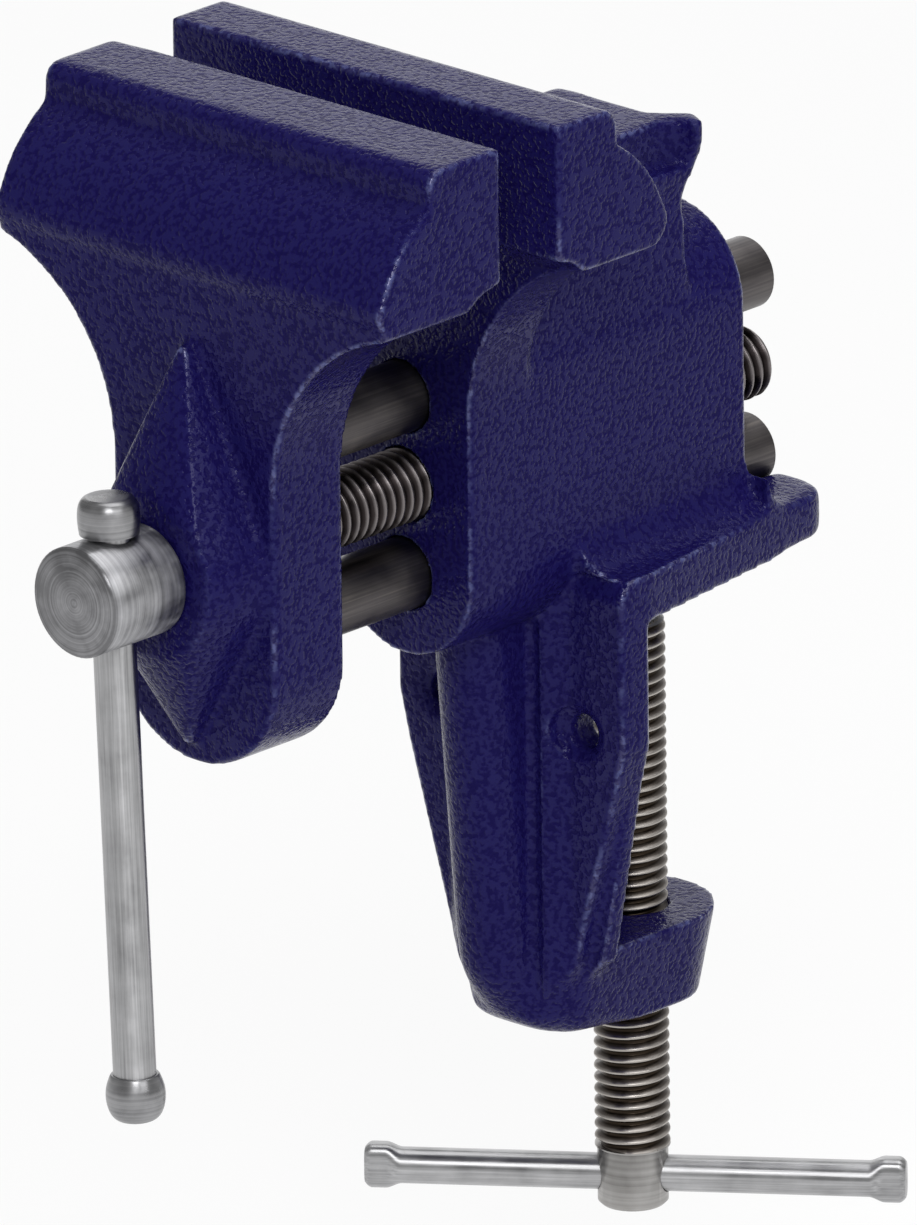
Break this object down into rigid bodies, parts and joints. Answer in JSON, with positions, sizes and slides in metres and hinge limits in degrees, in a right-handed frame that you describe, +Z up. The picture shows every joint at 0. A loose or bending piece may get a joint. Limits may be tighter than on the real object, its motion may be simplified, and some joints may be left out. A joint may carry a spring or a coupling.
{
  "type": "clamp-on table vise",
  "caption": "Small table vise with a sliding front jaw on guide rods, a screw with a cross handle, an anvil, and a C-shaped clamp with its own screw.",
  "frame": {"origin": "where the clamp screw's axis meets the table face under the flange", "axes": "+X along the jaws, +Y from the handle towards the table, +Z up"},
  "size_m": [0.0762, 0.1434, 0.1876],
  "materials": {
    "hammered_paint": "dark blue paint with a hammered, pebbled gloss",
    "rod_steel": "dark oxide, slightly oiled",
    "screw_steel": "turned, oiled thread",
    "bar_steel": "drawn bar, satin",
    "knob_steel": "turned satin",
    "inner_steel": "plain machined"
  },
  "bodies": {
    "frame": {"fixed_body": "hammered_paint"},
    "jaw": {"front_jaw": "hammered_paint", "guide_rod_upper": "rod_steel", "guide_rod_lower": "rod_steel"},
    "spindle": {"main_screw": "screw_steel", "thrust_washer": "inner_steel", "retaining_collar": "inner_steel", "collar_pin": "inner_steel"},
    "handle": {"handle_bar": "bar_steel", "handle_knob_top": "knob_steel", "handle_knob_bottom": "knob_steel"},
    "clamp_foot": {"swivel_pad": "inner_steel"},
    "clamp_spindle": {"clamp_screw": "screw_steel"},
    "clamp_tee": {"clamp_bar": "bar_steel"}
  },
  "joints": [
    {"name": "jaw_slide", "type": "slide", "parent": "frame", "child": "jaw", "axis": [0, 1, 0], "range_m": [-0.0515, 0.0117]},
    {"name": "main_screw_turn", "type": "hinge", "parent": "jaw", "child": "spindle", "pos_m": [0, -0.1, 0.0233], "axis": [0, 1, 0], "range_deg": [-9758, 2217]},
    {"name": "handle_slide", "type": "slide", "parent": "spindle", "child": "handle", "axis": [-0.0419, 0, 0.9991], "range_m": [0, 0.0643]},
    {"name": "pad_slide", "type": "slide", "parent": "frame", "child": "clamp_foot", "axis": [0, 0, 1], "range_m": [-0.0438, 0.0019]},
    {"name": "clamp_turn", "type": "hinge", "parent": "clamp_foot", "child": "clamp_spindle", "pos_m": [0, 0, 0], "axis": [0, 0, 1], "range_deg": [-8712, 378]},
    {"name": "tee_slide", "type": "slide", "parent": "clamp_spindle", "child": "clamp_tee", "axis": [0.8049, 0.5934, 0], "range_m": [-0.0285, 0.0285]}
  ],
  "couplings": [
    {"joint": "main_screw_turn", "follows": "jaw_slide", "rad_per_m": 3306.9},
    {"joint": "clamp_turn", "follows": "pad_slide", "rad_per_m": 3471.4}
  ]
}
